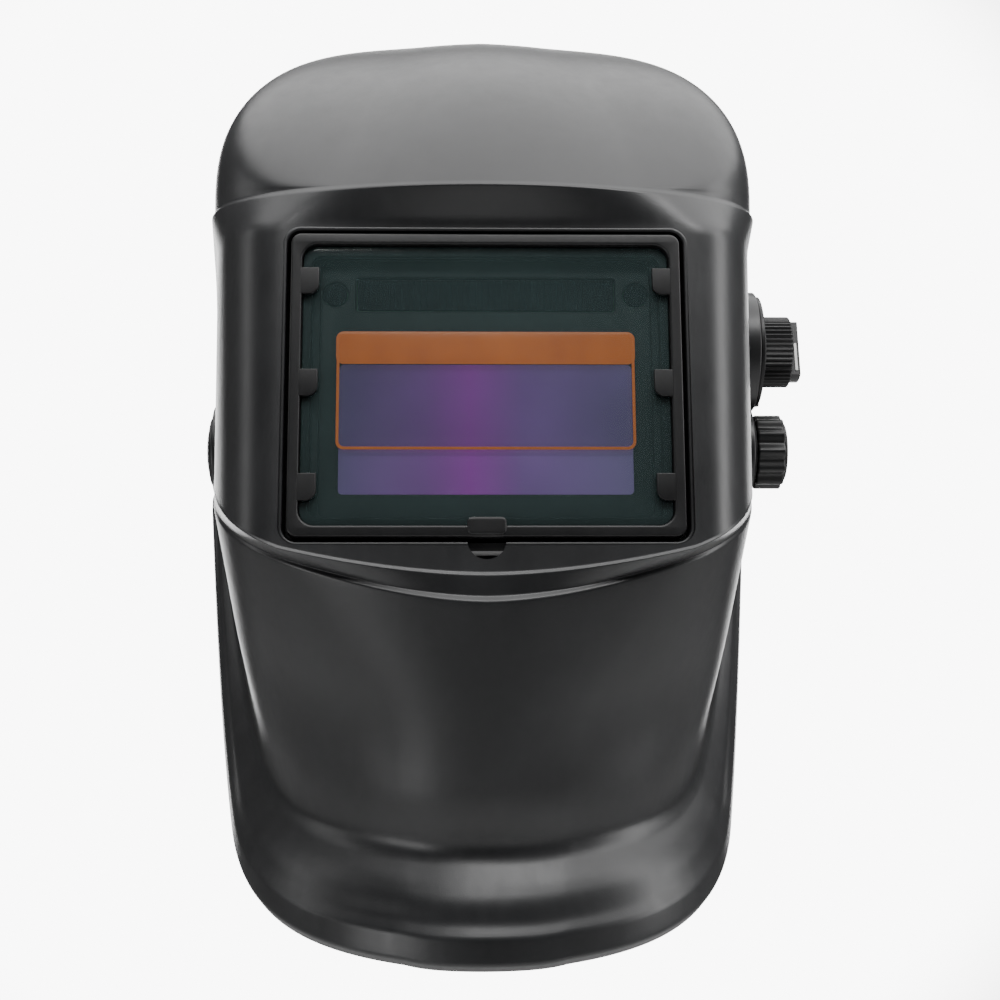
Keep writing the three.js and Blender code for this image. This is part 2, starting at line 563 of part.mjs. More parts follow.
// Ratchet at the back: two toothed racks meet a pinion turned by the knob
function buildRatchet() {
  const { y, z, width, height } = RATCHET;
  const at = (geometry) => geometry.translate(0, y, z);
  const housing = combine(plate(width, height, 7, 0, 9), [], [
    block(-40, 40, 2, 10, -10.8, 10.8), discY(3.3, -1, 3)]);
  place(helmet, 'ratchet_housing', at(housing), headgearPlastic());
  const cover = combine(plate(width, height, 7, 9.3, 11.5), [], [discY(7.4, 9, 12, 32)]);
  place(helmet, 'ratchet_cover', at(cover), headgearPlastic());
  const pinionRadius = (a) => RATCHET.pitchRadius + RATCHET.tooth * Math.cos(RATCHET.teeth * a);
  const pinionTeeth = lobedX(pinionRadius, 6 * RATCHET.teeth, 2.5, 8.2).rotateZ(90 * DEG);
  const pinion = combine(pinionTeeth, [discY(2.9, 0.3, 14.5), discY(5.6, 8, 14)], []);
  place(helmet, 'ratchet_pinion', at(pinion), steel());
  const knob = lobedX((a) => 18.6 + 1.2 * Math.cos(10 * a), 60, 14.4, 27).rotateZ(90 * DEG);
  const bored = combine(knob, [], [discY(6, 13, 20), discY(12, 24, 28, 32)]);
  place(helmet, 'ratchet_knob', at(bored), frameBlack());
  place(helmet, 'detent_spring', at(ringY(7, 6, 9.6, 11.2)), steel());
  for (const side of [-1, 1]) buildRack(side, at);
  place(helmet, 'rear_pad', at(plate(58, 28, 8, -6, -GAP)), cloth());
}

function buildRack(side, at) {
  const pitch = (2 * Math.PI * RATCHET.pitchRadius) / RATCHET.teeth;
  const outline = [[35, 10.4], [-1.5 * pitch, 10.4]];
  for (let k = -12; k * (pitch / 8) < 34.5; k += 1) {
    outline.push([(k * pitch) / 8, 6.4 + RATCHET.tooth * Math.cos((2 * Math.PI * k) / 8)]);
  }
  outline.push([35, 6.4]);
  const rack = panel(new THREE.Shape(outline.map(([x, z]) => new THREE.Vector2(x, z))), 2.6, 5.4);
  const out = new THREE.Vector3(0, 1, 0);
  const up = new THREE.Vector3(0, 0, 1);
  const bend = [30, 37].map((x) => ({ point: new THREE.Vector3(x, 4, 0), out, side: up }));
  const hug = bandArc(148, 130, 5, 2.6 + HEAD.thickness / 2).map((station) => (
    { ...station, point: station.point.clone().sub(new THREE.Vector3(0, RATCHET.y, RATCHET.z)) }));
  const flip = new THREE.Vector3(side, 1, 1);
  const tail = [...bend, ...hug].map((station) => (
    { ...station, point: station.point.multiply(flip), out: station.out.multiply(flip) }));
  const tongue = combine(side > 0 ? rack : rack.rotateY(180 * DEG), [strap(tail, 20.8, 2.4)], []);
  const name = side > 0 ? 'rack_left' : 'rack_right';
  place(helmet, name, at(tongue), headgearPlastic());
}

buildShell();
buildLensFrame();
buildCarrier();
buildCartridge();
buildShadeControl();
buildControlCable();
buildPivot(1);
buildPivot(-1);
buildTensionKnob();
buildHeadgear();
buildRatchet();

export default helmet;
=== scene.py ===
"""Auto-darkening welding helmet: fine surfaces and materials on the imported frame."""
import math

import bmesh
import bpy
from mathutils import Matrix, Vector


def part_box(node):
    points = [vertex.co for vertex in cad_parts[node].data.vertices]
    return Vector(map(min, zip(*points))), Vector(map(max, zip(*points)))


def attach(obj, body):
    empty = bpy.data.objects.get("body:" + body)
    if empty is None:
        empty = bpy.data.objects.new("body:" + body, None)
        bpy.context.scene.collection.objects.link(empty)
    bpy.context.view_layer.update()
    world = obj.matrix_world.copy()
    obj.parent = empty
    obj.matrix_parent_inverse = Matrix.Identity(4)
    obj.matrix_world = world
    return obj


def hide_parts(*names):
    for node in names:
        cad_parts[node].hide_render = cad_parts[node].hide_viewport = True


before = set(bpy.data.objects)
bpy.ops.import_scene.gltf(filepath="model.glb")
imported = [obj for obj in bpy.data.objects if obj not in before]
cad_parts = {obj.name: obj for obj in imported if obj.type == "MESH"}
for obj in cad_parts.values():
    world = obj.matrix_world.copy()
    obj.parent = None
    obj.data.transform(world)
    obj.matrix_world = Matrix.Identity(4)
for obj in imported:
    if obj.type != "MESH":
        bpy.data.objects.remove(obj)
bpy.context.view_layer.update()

MM = 0.001

# ---------------------------------------------------------------- camera and light
CAMERA = {"azimuth": -1.5, "distance": 675.0, "height": -18.75, "right": 7.9, "lens": 62.2}


def add_camera():
    turn = math.radians(CAMERA["azimuth"])
    back = Vector((math.sin(turn), -math.cos(turn), 0)) * CAMERA["distance"]
    right = Vector((math.cos(turn), math.sin(turn), 0)) * CAMERA["right"]
    data = bpy.data.cameras.new("camera")
    data.lens = CAMERA["lens"]
    data.sensor_width = 36
    data.clip_start = 0.02
    camera = bpy.data.objects.new("camera", data)
    camera.location = (back + right + Vector((0, 0, CAMERA["height"]))) * MM
    camera.rotation_euler = (math.radians(90), 0, turn)
    bpy.context.collection.objects.link(camera)
    bpy.context.scene.camera = camera


def add_light(name, place, target, size, power, shade=(1, 1, 1)):
    data = bpy.data.lights.new(name, "AREA")
    data.shape = "RECTANGLE"
    data.size, data.size_y = size
    data.energy = power
    data.color = shade
    light = bpy.data.objects.new(name, data)
    light.location = place
    light.rotation_euler = (Vector(target) - Vector(place)).to_track_quat("-Z", "Y").to_euler()
    bpy.context.collection.objects.link(light)


def add_studio():
    """A white field behind, dim walls all round, a large softbox above and two narrow ones at the sides."""
    world = bpy.data.worlds.new("studio")
    world.use_nodes = True
    tree = world.node_tree
    backdrop = tree.nodes["Background"]
    split = tree.nodes.new("ShaderNodeSeparateXYZ")
    tree.links.new(tree.nodes.new("ShaderNodeTexCoord").outputs["Generated"], split.inputs[0])
    field = tree.nodes.new("ShaderNodeMapRange")
    field.interpolation_type = "SMOOTHSTEP"
    field.inputs["From Min"].default_value = 0.89
    field.inputs["From Max"].default_value = 0.94
    field.inputs["To Min"].default_value = 0.12
    field.inputs["To Max"].default_value = 9.0
    tree.links.new(split.outputs["Y"], field.inputs["Value"])
    tree.links.new(field.outputs[0], backdrop.inputs["Strength"])
    backdrop.inputs["Color"].default_value = (1, 1, 1, 1)
    bpy.context.scene.world = world
    add_light("overhead", (0.2, 0.1, 0.95), (0.1, 0.1, 0), (1.5, 2.0), 31)
    add_light("front_strip", (0.2, -0.8, 1.0), (0, -0.1, -0.1), (1.2, 0.3), 13)
    add_light("left_fill", (-1.1, -1.0, -0.35), (0, -0.1, -0.05), (0.5, 0.6), 5)
    add_light("right_strip", (1.1, -0.15, 0.2), (0, -0.05, 0), (0.4, 1.1), 9)
    add_light("left_strip", (-1.1, -0.1, 0.25), (0, -0.05, 0), (0.3, 1.1), 2.5)
    mesh = bpy.data.meshes.new("floor")
    half, depth = 2.6, -1.0
    corners = [(-half, -half, depth), (half, -half, depth), (half, half, depth), (-half, half, depth)]
    mesh.from_pydata(corners, [], [(0, 1, 2, 3)])
    floor = bpy.data.objects.new("floor", mesh)
    floor.data.materials.append(floor_material())
    bpy.context.collection.objects.link(floor)


# ---------------------------------------------------------------- materials
def new_material(name):
    material = bpy.data.materials.new(name)
    material.use_nodes = True
    tree = material.node_tree
    return material, tree, tree.nodes["Principled BSDF"]


def object_coordinates(tree):
    return tree.nodes.new("ShaderNodeTexCoord").outputs["Object"]


def noise(tree, scale, detail=4, roughness=0.6, stretch=None):
    """A noise in object space; scale is in waves per metre."""
    node = tree.nodes.new("ShaderNodeTexNoise")
    node.inputs["Scale"].default_value = scale
    node.inputs["Detail"].default_value = detail
    node.inputs["Roughness"].default_value = roughness
    source = object_coordinates(tree)
    if stretch:
        mapping = tree.nodes.new("ShaderNodeMapping")
        mapping.inputs["Scale"].default_value = stretch
        tree.links.new(source, mapping.inputs["Vector"])
        source = mapping.outputs["Vector"]
    tree.links.new(source, node.inputs["Vector"])
    return node.outputs["Fac"]


def ramp(tree, value, stops):
    """A colour ramp through (position, colour) stops; a single number is a grey."""
    node = tree.nodes.new("ShaderNodeValToRGB")
    for _ in stops[2:]:
        node.color_ramp.elements.new(0.5)
    for element, (position, shade) in zip(node.color_ramp.elements, stops):
        element.position = position
        element.color = (*shade, 1) if isinstance(shade, tuple) else (shade, shade, shade, 1)
    tree.links.new(value, node.inputs["Fac"])
    return node.outputs["Color"]


def bump(tree, shader, height, distance, strength=1.0, after=None):
    node = tree.nodes.new("ShaderNodeBump")
    node.inputs["Distance"].default_value = distance
    node.inputs["Strength"].default_value = strength
    tree.links.new(height, node.inputs["Height"])
    if after:
        tree.links.new(after, node.inputs["Normal"])
    tree.links.new(node.outputs["Normal"], shader.inputs["Normal"])
    return node.outputs["Normal"]


def floor_material():
    material, tree, shader = new_material("floor_paper")
    tint = ramp(tree, noise(tree, 3, 2), [(0.3, 0.93), (0.7, 0.95)])
    tree.links.new(tint, shader.inputs["Base Color"])
    shader.inputs["Roughness"].default_value = 0.9
    return material


def moulded_plastic(name, dark, light, rough, grain, depth, specular=0.5, coat=0.0):
    """Black plastic: mottled tone, a moulded grain and fine scuffs that change the gloss."""
    material, tree, shader = new_material(name)
    tone = ramp(tree, noise(tree, 35, 5), [(0.35, dark), (0.7, light)])
    tree.links.new(tone, shader.inputs["Base Color"])
    scuffs = noise(tree, 160, 6, 0.75, stretch=(1, 1, 0.18))
    gloss = ramp(tree, scuffs, [(0.3, rough[0]), (0.62, (rough[0] + rough[1]) / 2), (0.78, rough[1])])
    tree.links.new(gloss, shader.inputs["Roughness"])
    shader.inputs["Specular IOR Level"].default_value = specular
    shader.inputs["Coat Weight"].default_value = coat
    shader.inputs["Coat Roughness"].default_value = 0.25
    slow = bump(tree, shader, noise(tree, 60, 2), 0.00012, 0.6)
    bump(tree, shader, noise(tree, grain, 3, 0.7), depth, 1.0, after=slow)
    return material


def clear_plastic(name, tint, haze, rough, mix):
    """Clear sheet: tinted see-through, a thin milky haze and a glossy skin."""
    material, tree, shader = new_material(name)
    tree.nodes.remove(shader)
    out = tree.nodes["Material Output"]
    through = tree.nodes.new("ShaderNodeBsdfTransparent")
    through.inputs["Color"].default_value = (*tint, 1)
    milk = tree.nodes.new("ShaderNodeBsdfDiffuse")
    smear = ramp(tree, noise(tree, 28, 6, 0.7), [(0.3, tuple(0.75 * c for c in haze)), (0.7, haze)])
    tree.links.new(smear, milk.inputs["Color"])
    skin = tree.nodes.new("ShaderNodeBsdfGlossy")
    sheen = ramp(tree, noise(tree, 120, 5, 0.7), [(0.35, rough), (0.75, rough * 2.4)])
    tree.links.new(sheen, skin.inputs["Roughness"])
    body = tree.nodes.new("ShaderNodeMixShader")
    body.inputs["Fac"].default_value = mix
    tree.links.new(through.outputs[0], body.inputs[1])
    tree.links.new(milk.outputs[0], body.inputs[2])
    fresnel = tree.nodes.new("ShaderNodeFresnel")
    fresnel.inputs["IOR"].default_value = 1.45
    top = tree.nodes.new("ShaderNodeMixShader")
    tree.links.new(fresnel.outputs[0], top.inputs["Fac"])
    tree.links.new(body.outputs[0], top.inputs[1])
    tree.links.new(skin.outputs[0], top.inputs[2])
    tree.links.new(top.outputs[0], out.inputs["Surface"])
    return material


def filter_glass():
    """Violet coated glass: grey-violet, its own coating colour, with a magenta band across X, peaking near its middle,
    that is a painted reflection; the same colour is given as emission, so the glass glows though it is no lamp.
    """
    material, tree, shader = new_material("filter_glass")
    split = tree.nodes.new("ShaderNodeSeparateXYZ")
    tree.links.new(object_coordinates(tree), split.inputs[0])
    low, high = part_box("uv_ir_filter")
    across = tree.nodes.new("ShaderNodeMapRange")
    across.inputs["From Min"].default_value = low.x
    across.inputs["From Max"].default_value = high.x
    tree.links.new(split.outputs["X"], across.inputs["Value"])
    # Stops across X: the coating's own grey-violet at the ends, and a painted reflection band of magenta between them.
    violet_and_painted_reflection = [(0.0, (0.22, 0.15, 0.36)), (0.3, (0.36, 0.11, 0.48)), (0.45, (0.52, 0.07, 0.60)),
            (0.62, (0.32, 0.13, 0.46)), (1.0, (0.27, 0.19, 0.42))]
    wave = ramp(tree, across.outputs[0], violet_and_painted_reflection)
    cloud = ramp(tree, noise(tree, 14, 3), [(0.3, 0.75), (0.7, 1.15)])
    mixer = tree.nodes.new("ShaderNodeMix")
    mixer.data_type = "RGBA"
    mixer.blend_type = "MULTIPLY"
    mixer.inputs["Factor"].default_value = 1
    tree.links.new(wave, mixer.inputs["A"])
    tree.links.new(cloud, mixer.inputs["B"])
    tree.links.new(mixer.outputs["Result"], shader.inputs["Base Color"])
    # The colour also feeds the emission: painted light, the glass glows though it is no lamp.
    tree.links.new(mixer.outputs["Result"], shader.inputs["Emission Color"])
    shader.inputs["Emission Strength"].default_value = 0.34
    gloss = ramp(tree, noise(tree, 90, 5), [(0.3, 0.06), (0.8, 0.16)])
    tree.links.new(gloss, shader.inputs["Roughness"])
    shader.inputs["Coat Weight"].default_value = 0.6
    shader.inputs["Coat Roughness"].default_value = 0.05
    bump(tree, shader, noise(tree, 500, 2), 0.00001)
    return material


def printed_film_painted_glow(name, dark, light):
    material, tree, shader = new_material(name)
    tint = ramp(tree, noise(tree, 70, 5), [(0.3, dark), (0.7, light)])
    tree.links.new(tint, shader.inputs["Base Color"])
    # The print colour also feeds the emission: painted light, the film glows though it is no lamp.
    tree.links.new(tint, shader.inputs["Emission Color"])
    shader.inputs["Emission Strength"].default_value = 0.32
    gloss = ramp(tree, noise(tree, 300, 4), [(0.3, 0.28), (0.8, 0.45)])
    tree.links.new(gloss, shader.inputs["Roughness"])
    bump(tree, shader, noise(tree, 45, 3), 0.00015, 0.5)
    return material


def metal(name, shade, rough):
    material, tree, shader = new_material(name)
    tone = ramp(tree, noise(tree, 200, 4, stretch=(1, 6, 6)),
                [(0.3, tuple(0.8 * c for c in shade)), (0.7, shade)])
    tree.links.new(tone, shader.inputs["Base Color"])
    shader.inputs["Metallic"].default_value = 1
    gloss = ramp(tree, noise(tree, 700, 4), [(0.3, rough), (0.8, rough + 0.2)])
    tree.links.new(gloss, shader.inputs["Roughness"])
    bump(tree, shader, noise(tree, 900, 3, stretch=(1, 8, 8)), 0.00002)
    return material


def solar_panel():
    """Dark cell under glass, crossed by thin silver fingers."""
    material, tree, shader = new_material("solar_panel")
    wave = tree.nodes.new("ShaderNodeTexWave")
    wave.inputs["Scale"].default_value = 160
    wave.inputs["Distortion"].default_value = 0
    tree.links.new(object_coordinates(tree), wave.inputs["Vector"])
    lines = ramp(tree, wave.outputs["Fac"], [(0.93, (0.010, 0.011, 0.014)), (0.97, (0.018, 0.019, 0.024))])
    tree.links.new(lines, shader.inputs["Base Color"])
    gloss = ramp(tree, noise(tree, 300, 3), [(0.3, 0.1), (0.8, 0.2)])
    tree.links.new(gloss, shader.inputs["Roughness"])
    return material


def terry_cloth():
    material, tree, shader = new_material("terry_cloth")
    loops = tree.nodes.new("ShaderNodeTexVoronoi")
    loops.inputs["Scale"].default_value = 900
    tree.links.new(object_coordinates(tree), loops.inputs["Vector"])
    tone = ramp(tree, loops.outputs["Distance"], [(0.1, (0.05, 0.052, 0.06)), (0.7, (0.012, 0.012, 0.015))])
    tree.links.new(tone, shader.inputs["Base Color"])
    fuzz = ramp(tree, noise(tree, 500, 4), [(0.3, 0.85), (0.7, 1.0)])
    tree.links.new(fuzz, shader.inputs["Roughness"])
    shader.inputs["Sheen Weight"].default_value = 0.4
    shader.inputs["Sheen Roughness"].default_value = 0.5
    bump(tree, shader, loops.outputs["Distance"], 0.0006, 0.8)
    return material


MATERIALS = {}


def make_materials():
    MATERIALS.update({
        "shell": moulded_plastic("shell_black", (0.0075, 0.0077, 0.0085), (0.012, 0.0123, 0.0135),
                                 (0.33, 0.45), 2600, 0.000018),
        "frame": moulded_plastic("frame_black", (0.005, 0.005, 0.0055), (0.009, 0.009, 0.0095),
                                 (0.34, 0.48), 3200, 0.00002, specular=0.35),
        "inner": moulded_plastic("inner_black", (0.012, 0.0122, 0.013), (0.02, 0.0202, 0.021),
                                 (0.5, 0.66), 2400, 0.00004),
        "headgear": moulded_plastic("headgear_grey", (0.02, 0.021, 0.023), (0.032, 0.033, 0.036),
                                    (0.42, 0.56), 2200, 0.00003),
        "rubber": moulded_plastic("rubber_black", (0.01, 0.01, 0.01), (0.018, 0.018, 0.018),
                                  (0.7, 0.85), 1800, 0.00004, specular=0.3),
        "board": moulded_plastic("solder_mask", (0.01, 0.07, 0.02), (0.02, 0.12, 0.04),
                                 (0.25, 0.4), 1500, 0.00002),
        "white": moulded_plastic("index_white", (0.7, 0.7, 0.68), (0.82, 0.82, 0.8),
                                 (0.4, 0.55), 1500, 0.00001),
        "clear": clear_plastic("cover_clear", (0.93, 0.98, 0.98), (0.10, 0.17, 0.17), 0.06, 0.12),
        "inner_clear": clear_plastic("inner_clear", (0.93, 0.95, 0.95), (0.2, 0.22, 0.22), 0.05, 0.06),
        "film": clear_plastic("film_clear", (0.96, 0.93, 0.97), (0.16, 0.13, 0.2), 0.09, 0.06),
        "print": printed_film_painted_glow("film_print", (0.80, 0.17, 0.015), (0.95, 0.22, 0.02)),
        "glass": filter_glass(),
        "solar": solar_panel(),
        "steel": metal("zinc_steel", (0.62, 0.63, 0.65), 0.25),
        "cloth": terry_cloth(),
    })


# ---------------------------------------------------------------- mesh tools
class Piece:
    """Gathers meshes, in millimetres, into one object in the helmet's frame."""

    def __init__(self):
        self.bm = bmesh.new()

    def add(self, mesh, matrix=None):
        if matrix:
            mesh.transform(matrix)
        self.bm.from_mesh(mesh)
        bpy.data.meshes.remove(mesh)
        return self

    def finish(self, name, finish, body, slot, *nodes, sharp=32):
        mesh = bpy.data.meshes.new(name)
        bmesh.ops.recalc_face_normals(self.bm, faces=self.bm.faces)
        self.bm.to_mesh(mesh)
        self.bm.free()
        mesh.transform(Matrix.Scale(MM, 4))
        mesh.shade_smooth()
        mesh.set_sharp_from_angle(angle=math.radians(sharp))
        obj = bpy.data.objects.new(name, mesh)
        bpy.context.collection.objects.link(obj)
        obj.data.materials.append(MATERIALS[finish])
        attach(obj, body)
        if nodes:
            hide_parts(*nodes)
        return obj


def raw_mesh(vertices, faces):
    mesh = bpy.data.meshes.new("raw")
    mesh.from_pydata(vertices, [], faces)
    return mesh


def slab(outlines, thickness, edge=0.4, steps=3):
    """A flat piece with rounded edges: outlines in X and Y, from z = 0 to thickness."""
    data = bpy.data.curves.new("slab", "CURVE")
    data.dimensions = "2D"
    data.fill_mode = "BOTH"
    data.extrude = thickness / 2 - edge
    data.bevel_depth = edge
    data.bevel_resolution = steps
    data.offset = -edge
    for outline in outlines:
        spline = data.splines.new("POLY")
        spline.points.add(len(outline) - 1)
        for point, (x, y) in zip(spline.points, outline):
            point.co = (x, y, 0, 1)
        spline.use_cyclic_u = True
    obj = bpy.data.objects.new("slab", data)
    bpy.context.collection.objects.link(obj)
    graph = bpy.context.evaluated_depsgraph_get()
    mesh = bpy.data.meshes.new_from_object(obj.evaluated_get(graph))
    bpy.data.objects.remove(obj)
    bpy.data.curves.remove(data)
    mesh.transform(Matrix.Translation((0, 0, thickness / 2)))
    work = bmesh.new()
    work.from_mesh(mesh)
    bmesh.ops.remove_doubles(work, verts=work.verts, dist=0.001)
    work.to_mesh(mesh)
    work.free()
    return mesh


def rounded_rect(width, height, radius, centre=(0, 0), steps=10):
    points = []
    for k in range(4):
        sx = 1 if k in (0, 3) else -1
        sy = 1 if k in (0, 1) else -1
        cx = centre[0] + sx * (width / 2 - radius)
        cy = centre[1] + sy * (height / 2 - radius)
        for i in range(steps + 1):
            angle = math.radians(90 * k + 90 * i / steps)
            points.append((cx + radius * math.cos(angle), cy + radius * math.sin(angle)))
    return points


def circle(radius, centre=(0, 0), steps=48):
    return [(centre[0] + radius * math.cos(2 * math.pi * i / steps),
             centre[1] + radius * math.sin(2 * math.pi * i / steps)) for i in range(steps)]


def lobes(radius_at, steps):
    angles = [2 * math.pi * i / steps for i in range(steps)]
    return [(radius_at(a) * math.cos(a), radius_at(a) * math.sin(a)) for a in angles]


def lathe(profile, steps=64):
    """A turned body about Z from (radius, z) pairs; ends on the axis are closed."""
    vertices, rings = [], []
    for radius, z in profile:
        if radius < 1e-6:
            rings.append([len(vertices)] * steps)
            vertices.append((0, 0, z))
            continue
        rings.append(list(range(len(vertices), len(vertices) + steps)))
        for i in range(steps):
            angle = 2 * math.pi * i / steps
            vertices.append((radius * math.cos(angle), radius * math.sin(angle), z))
    faces = []
    for a, b in zip(rings, rings[1:]):
        for i in range(steps):
            j = (i + 1) % steps
            face = []
            for k in (a[i], a[j], b[j], b[i]):
                if k not in face:
                    face.append(k)
            if len(face) > 2:
                faces.append(face)
    return raw_mesh(vertices, faces)


def soft_corners(profile, radius=0.5, steps=4, closed=False):
    """Rounds each inner corner of a profile with a short arc-like curve."""
    points = [Vector(p) for p in profile]
    count = len(points)
    out = []
    for i, here in enumerate(points):
        if not closed and i in (0, count - 1):
            out.append(here)
            continue
        before, after = points[i - 1], points[(i + 1) % count]
        cut = min(radius, 0.45 * (here - before).length, 0.45 * (after - here).length)
        enter = here + (before - here).normalized() * cut
        leave = here + (after - here).normalized() * cut
        for k in range(steps + 1):
            t = k / steps
            out.append(enter.lerp(here, t).lerp(here.lerp(leave, t), t))
    return [tuple(p) for p in out]


def ring_profile(outer, inner, z0, z1, radius=0.3):
    """A closed washer profile with rounded edges, repeated at its end to close it."""
    loop = soft_corners([(inner, z0), (outer, z0), (outer, z1), (inner, z1)], radius, 3, closed=True)
    return loop + [loop[0]]


def sweep(stations, section, closed_ends=True):
    """A body along stations of (point, out, side) with a closed section of (out, side) offsets."""
    vertices, faces = [], []
    count = len(section)
    for point, out, side in stations:
        for a, b in section:
            vertices.append(tuple(point + out * a + side * b))
    for s in range(len(stations) - 1):
        for k in range(count):
            a, b = s * count + k, s * count + (k + 1) % count
            faces.append((a, b, b + count, a + count))
    if closed_ends:
        faces.append(tuple(range(count)))
        last = (len(stations) - 1) * count
        faces.append(tuple(range(last + count - 1, last - 1, -1)))
    return raw_mesh(vertices, faces)


def box_of(node):
    """A node's corners in millimetres."""
    low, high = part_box(node)
    return low / MM, high / MM


# Frames for pieces: along +X at a height, along +Y, or in the tilted window
WINDOW = {"y": -140.0, "z": 17.4, "tilt": 12.0, "width": 124.6, "height": 99.6, "radius": 4.4}
TO_WINDOW = (Matrix.Translation((0, WINDOW["y"], WINDOW["z"]))
             @ Matrix.Rotation(math.radians(-WINDOW["tilt"]), 4, "X"))


def in_window(back):
    """Puts a slab's z = 0 side at depth back in the window's frame, growing outwards."""
    return TO_WINDOW @ Matrix.Translation((0, back, 0)) @ Matrix.Rotation(math.radians(90), 4, "X")


def along_x(x, y=0.0, z=0.0, turn=0.0):
    return (Matrix.Translation((x, y, z)) @ Matrix.Rotation(math.radians(turn), 4, "X")
            @ Matrix.Rotation(math.radians(90), 4, "Y"))


def along_y(x, y, z):
    return Matrix.Translation((x, y, z)) @ Matrix.Rotation(math.radians(-90), 4, "X")


# ---------------------------------------------------------------- shell
WALL = 2.5
TOP_Z = 156.2


def window_y(z):
    return WINDOW["y"] + (z - WINDOW["z"]) * math.tan(math.radians(WINDOW["tilt"]))


def outline_ring(z0, z1, rise, front, bulge, flat, side, ear, cut):
    return dict(z0=z0, z1=z1, rise=rise, front=front, bulge=bulge, flat=flat, side=side, ear=ear, cut=cut)


RINGS = [
    outline_ring(-162.5, -26, 4.8, -149, 5, 25, (86, -66), (106.6, 32), 0.5),
    outline_ring(-160, -24, 4.8, -152, 5, 25, (88, -66), (108.6, 32), 1),
    outline_ring(-152, -18, 4.8, -152, 5, 25, (87.8, -66), (108.4, 32.5), 1.2),
    outline_ring(-148, -15, 4.8, -149.4, 5, 25, (86.4, -66), (107.2, 33), 1.4),
    outline_ring(-142, -11, 4.8, -147.6, 5, 25, (85.2, -66), (106.8, 33.5), 2.6),
    outline_ring(-137, -9, 4.9, -144.4, 5, 25, (82, -66), (106.5, 33.8), 2.6),
    outline_ring(-128, -5, 5.4, -138, 6, 25, (77, -67), (106, 34), 9),
    outline_ring(-115, -2, 4.6, -144, 8, 28, (79, -71), (106, 34.5), 10),
    outline_ring(-92, 1, 3.4, -148, 9, 30, (84.5, -78), (106.2, 35), 16),
    outline_ring(-49.4, 5.4, 1.7, -155.2, 10, 55, (90.5, -94), (107, 36), 0.8),
    outline_ring(-47.8, 6.6, 1.7, -153.6, 9.5, 56, (90.1, -94.2), (107, 36), 0.5),
    outline_ring(-41.5, 11.7, 1.8, window_y(-41) - 0.6, 0, 63, (90.2, -96), (107.4, 37), 0.4),
    outline_ring(-40.6, 12.4, 1.8, window_y(-40.6), 0, 63, (90, -96), (107.4, 37), 0.4),
    outline_ring(69, 60, 2, window_y(69), 0, 63, (89.6, -90), (108, 42), 2.5),
    outline_ring(80, 72, 2, -135, 9, 55, (92, -88), (108.6, 44), 0.6),
    outline_ring(81.2, 73.4, 2, -133.8, 9, 55, (91.1, -87.2), (107.9, 44), 0.5),
]


LIP = 4


def inner_rings():
    rings = []
    for k, ring in enumerate(RINGS):
        shape = dict(ring)
        if 0 < k < LIP:
            lip = RINGS[LIP]
            shape.update(front=lip["front"], side=lip["side"], ear=(lip["ear"][0], ring["ear"][1]))
        shape["front"] += WALL
        shape["side"] = (shape["side"][0] - WALL, shape["side"][1])
        shape["ear"] = (shape["ear"][0] - WALL, shape["ear"][1])
        rings.append(shape)
    return rings


def ring_point(ring, u):
    """The point of a ring at u, from 0 at the centre line to 1 at the ear."""
    start = Vector((ring["flat"], ring["front"] + ring["bulge"]))
    slope = 2 * ring["bulge"] / ring["flat"]
    side, ear = Vector(ring["side"]), Vector(ring["ear"])
    lean = (ear.x - side.x) / (ear.y - side.y)
    reach = (side.x - start.x - lean * (side.y - start.y)) / (1 - lean * slope)
    corner = start + Vector((reach, slope * reach))
    if u < 0.35:
        k = u / 0.35
        xy = Vector((ring["flat"] * k, ring["front"] + ring["bulge"] * k * k))
    elif u < 0.7:
        t = (u - 0.35) / 0.35
        xy = start.lerp(corner, t).lerp(corner.lerp(side, t), t)
    else:
        xy = side.lerp(ear, (u - 0.7) / 0.3)
    return Vector((xy.x, xy.y, ring["z0"] + (ring["z1"] - ring["z0"]) * u ** ring["rise"]))


def shell_line(rings, top, u, spans, corner_steps=5, dome_steps=44):
    """A vertical line of the shell at u: the rings with rounded edges, then the dome."""
    knots = [ring_point(ring, u) for ring in rings]
    knots.append(dome_point(knots[-1], rings[-1]["ear"][1], top, u, 0.94))
    line = [knots[0]]
    for k in range(1, len(rings)):
        before, here, after = knots[k - 1], knots[k], knots[k + 1]
        cut = min(rings[k]["cut"], 0.42 * (here - before).length, 0.42 * (after - here).length)
        enter = here + (before - here).normalized() * cut
        leave = here + (after - here).normalized() * cut
        last = line[-1]
        line += [last.lerp(enter, i / spans[k]) for i in range(1, spans[k])]
        for i in range(corner_steps + 1):
            t = i / corner_steps
            line.append(enter.lerp(here, t).lerp(here.lerp(leave, t), t))
    base, pole = line[-1], rings[-1]["ear"][1]
    for i in range(1, dome_steps + 1):
        s = 0 if i == dome_steps else math.cos(math.radians(90 * i / dome_steps)) ** 0.8
        line.append(dome_point(base, pole, top, u, s))
    return line


def dome_point(base, pole, top, u, s):
    """The dome at s, from 1 at its base to 0 at the pole: sloped in front, upright at the ears."""
    t = min(1, max(0, (u - 0.3) / 0.567))
    upright = t * t * (3 - 2 * t)
    dip = 0.15 * u * s * s * (1 - s * s)
    height = (1 - upright) * (1 - s ** 3.13) + upright * (1 - s ** 2.8) ** (1 / 2.8) - dip
    return Vector((base.x * s, pole + (base.y - pole) * s, base.z + (top - base.z) * height))


